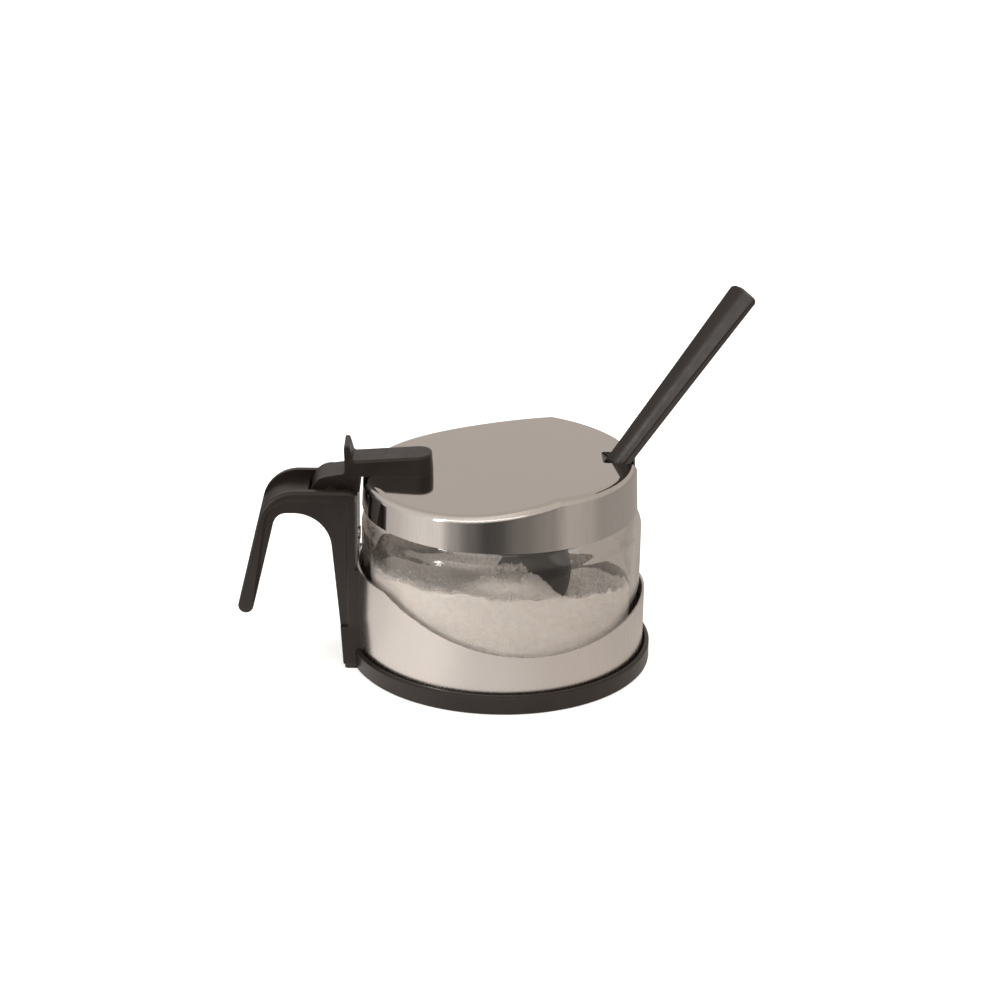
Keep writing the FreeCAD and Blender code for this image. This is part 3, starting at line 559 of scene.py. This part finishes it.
def spoon_frame():
    """Matrix of the scoop: x across, y to its open side, z up the shaft."""
    near = Vector((0, -1, 0))
    left = SPOON_AXIS.cross(near)
    turn = math.radians(SPOON_TURN)
    across = left * math.cos(turn) - near * math.sin(turn)
    out = SPOON_AXIS.cross(across)
    matrix = Matrix((across, out, SPOON_AXIS)).transposed().to_4x4()
    matrix.translation = SLOT_POINT - SPOON_AXIS * SCOOP_BELOW
    return matrix


def cut_for_scoop(heap):
    """Take the space that the scoop fills or passes out of the heap."""
    outline = []
    steps = 24
    for i in range(steps + 1):
        t = math.pi + math.pi * i / steps
        outline.append((SCOOP_HALF_WIDTH * math.cos(t), SCOOP_LOW * abs(math.sin(t)) ** 0.9))
    outline = [(-SCOOP_HALF_WIDTH, 70)] + outline + [(SCOOP_HALF_WIDTH, 70)]
    place = spoon_frame()
    count = len(outline)
    verts = [place @ Vector((x, SCOOP_BACK, z)) * MM for x, z in outline]
    verts += [place @ Vector((x, SCOOP_FRONT, z)) * MM for x, z in outline]
    faces = [tuple(range(count)), tuple(reversed(range(count, 2 * count)))]
    faces += [(i, i + count, (i + 1) % count + count, (i + 1) % count) for i in range(count)]
    cutter = mesh_object("scoop_path", verts, faces, heap.data.materials[0], smooth=False)
    cut = heap.modifiers.new("scoop", "BOOLEAN")
    cut.operation = "DIFFERENCE"
    cut.solver = "EXACT"
    cut.object = cutter
    graph = bpy.context.evaluated_depsgraph_get()
    carved = bpy.data.meshes.new_from_object(heap.evaluated_get(graph))
    heap.modifiers.clear()
    heap.data = carved
    bpy.data.objects.remove(cutter)


def add_grain(verts, faces, place, size, rng, flat=None):
    """One irregular shred: a bent six-sided bit about size long."""
    long, wide = size, size * rng.uniform(0.3, 0.6)
    thick = size * rng.uniform(0.2, 0.4)
    axis = Vector((rng.uniform(-1, 1), rng.uniform(-1, 1), rng.uniform(-1, 1))).normalized()
    if flat is not None:
        axis = (axis - flat * axis.dot(flat) * 0.8).normalized()
    side = axis.orthogonal().normalized()
    side.rotate(Matrix.Rotation(rng.uniform(0, 2 * math.pi), 3, axis))
    up = axis.cross(side)
    start = len(verts)
    for along in (-1, 1):
        for i in range(3):
            t = 2 * math.pi * i / 3 + rng.uniform(-0.5, 0.5)
            verts.append(place + axis * along * long * rng.uniform(0.3, 0.55)
                         + side * math.cos(t) * wide * rng.uniform(0.35, 0.65)
                         + up * math.sin(t) * thick * rng.uniform(0.5, 0.9))
    a = start
    faces.extend([(a, a + 2, a + 1), (a + 3, a + 4, a + 5),
                  (a, a + 1, a + 4, a + 3), (a + 1, a + 2, a + 5, a + 4), (a + 2, a, a + 3, a + 5)])


def near_scoop(point, inverse):
    local = inverse @ point
    return (abs(local.x) < SCOOP_HALF_WIDTH + 0.8 and SCOOP_BACK - 0.8 < local.y < SCOOP_FRONT + 0.8
            and local.z > SCOOP_LOW - 0.8)


TOP_GRAINS = 15000
TOP_GRAIN_SIZES = (0.45, 0.55, 0.75, 1.0, 1.4)
WALL_GRAINS = 6500
WALL_GRAIN_SIZES = (0.4, 0.5, 0.7, 0.9)
DUST_GRAINS = 2600
DUST_SIDE = math.radians(-140)   # where most dust clings to the glass
DUST_SPREAD = 0.6
DUST_TOP = 52


def make_grains(surface):
    """Loose grains on the heap's top and along the glass."""
    rng = random.Random(11)
    inverse = spoon_frame().inverted()
    verts, faces = [], []
    placed = 0
    while placed < TOP_GRAINS:
        r = (CHEESE_RADIUS - 0.9) * math.sqrt(rng.random())
        t = rng.uniform(0, 2 * math.pi)
        x, y = r * math.cos(t), r * math.sin(t)
        point = Vector((x, y, heap_height(x, y) + rng.uniform(-0.1, 0.3)))
        placed += 1
        if near_scoop(point, inverse):
            continue
        add_grain(verts, faces, point, rng.choice(TOP_GRAIN_SIZES), rng)
    for _ in range(WALL_GRAINS):
        t = rng.uniform(0, 2 * math.pi)
        outward = Vector((math.cos(t), math.sin(t), 0))
        top = heap_height(47.6 * outward.x, 47.6 * outward.y)
        z = rng.uniform(17, top + 0.3)
        point = outward * (CHEESE_RADIUS - 0.45) + Vector((0, 0, z))
        add_grain(verts, faces, point, rng.choice(WALL_GRAIN_SIZES), rng, outward)
    for _ in range(DUST_GRAINS):
        t = rng.gauss(DUST_SIDE, DUST_SPREAD)
        outward = Vector((math.cos(t), math.sin(t), 0))
        top = heap_height(47.6 * outward.x, 47.6 * outward.y)
        point = outward * (GLASS_INSIDE - 0.28) + Vector((0, 0, top + rng.expovariate(0.6)))
        if point.z < DUST_TOP:
            add_grain(verts, faces, point, rng.choice((0.25, 0.35, 0.5)), rng, outward)
    grains = mesh_object("cheese_grains", [v * MM for v in verts], faces, surface, smooth=False)
    return grains


# Dress the frame

def dress(name, surface):
    slots = frame["nodes"][name].data.materials
    for i in range(len(slots)):
        slots[i] = surface
    if not len(slots):
        slots.append(surface)


def dress_lid(side, top, edge):
    """The lid's rolled skirt, its flat plate and the walls of its slot have different finishes; the slot walls
    are darkened steel, a painted shade.
    """
    mesh = frame["nodes"]["lid_cap"].data
    dress("lid_cap", side)
    mesh.materials.append(top)
    mesh.materials.append(edge)
    for face in mesh.polygons:
        inside = math.hypot(face.center.x, face.center.y) < 45 * MM
        if face.center.z < 70 * MM:
            face.material_index = 0
        elif abs(face.normal.z) > 0.75:
            face.material_index = 1
        else:
            # slot walls take the darkened edge steel: painted shade
            face.material_index = 2 if inside else 0


def dress_sleeve(side, edge):
    """The sleeve's sheared tab edges are rougher than its brushed faces, and their dark colour is a painted
    shade.
    """
    mesh = frame["nodes"]["steel_sleeve"].data
    dress("steel_sleeve", side)
    mesh.materials.append(edge)
    for face in mesh.polygons:
        outward = Vector((face.center.x, face.center.y, 0)).normalized()
        on_tab = face.center.x < -49 * MM and face.center.z > 40 * MM
        sheared = abs(face.normal.dot(outward)) < 0.5
        face.material_index = 1 if on_tab and sheared else 0


make_camera()
make_world()
make_lights()
make_floor()

plastic = black_plastic("satin_black_plastic")
sleeve_steel = brushed_steel("brushed_sleeve_steel", (0.66, 0.625, 0.60), 0.26, 0.0002, 0.3, 0.3)
skirt_steel = brushed_steel("rolled_lid_steel", (0.62, 0.595, 0.575), 0.10, 0.0012, 0.5)
plate_steel = mirror_steel("polished_lid_steel", (0.60, 0.555, 0.515), 0.05)
fixing_steel = brushed_steel("plated_fixing_steel", (0.60, 0.58, 0.56), 0.2, 0.0006, 0.0)
# cut edges: rougher steel whose dark base colour is painted shade
shaded_edge_steel = brushed_steel("cut_edge_steel_painted_shade", (0.24, 0.22, 0.205), 0.42, 0.002, 0.0)
glass = clear_glass("clear_glass")
cheese = cheese_material("grated_cheese")

for name in ("base_ring", "handle", "lid_lever", "spoon"):
    dress(name, plastic)
dress_sleeve(sleeve_steel, shaded_edge_steel)
dress_lid(skirt_steel, plate_steel, shaded_edge_steel)
for name in frame["nodes"]:
    if "screw" in name or "pin" in name:
        dress(name, fixing_steel)
bowl = make_glass(glass)
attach(bowl, "holder")
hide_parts("glass_bowl")
bowl.visible_shadow = False

heap = make_heap(cheese)
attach(heap, "holder")
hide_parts("grated_cheese")
grains = make_grains(cheese)
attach(grains, "holder")

bpy.context.scene.view_settings.view_transform = "Standard"
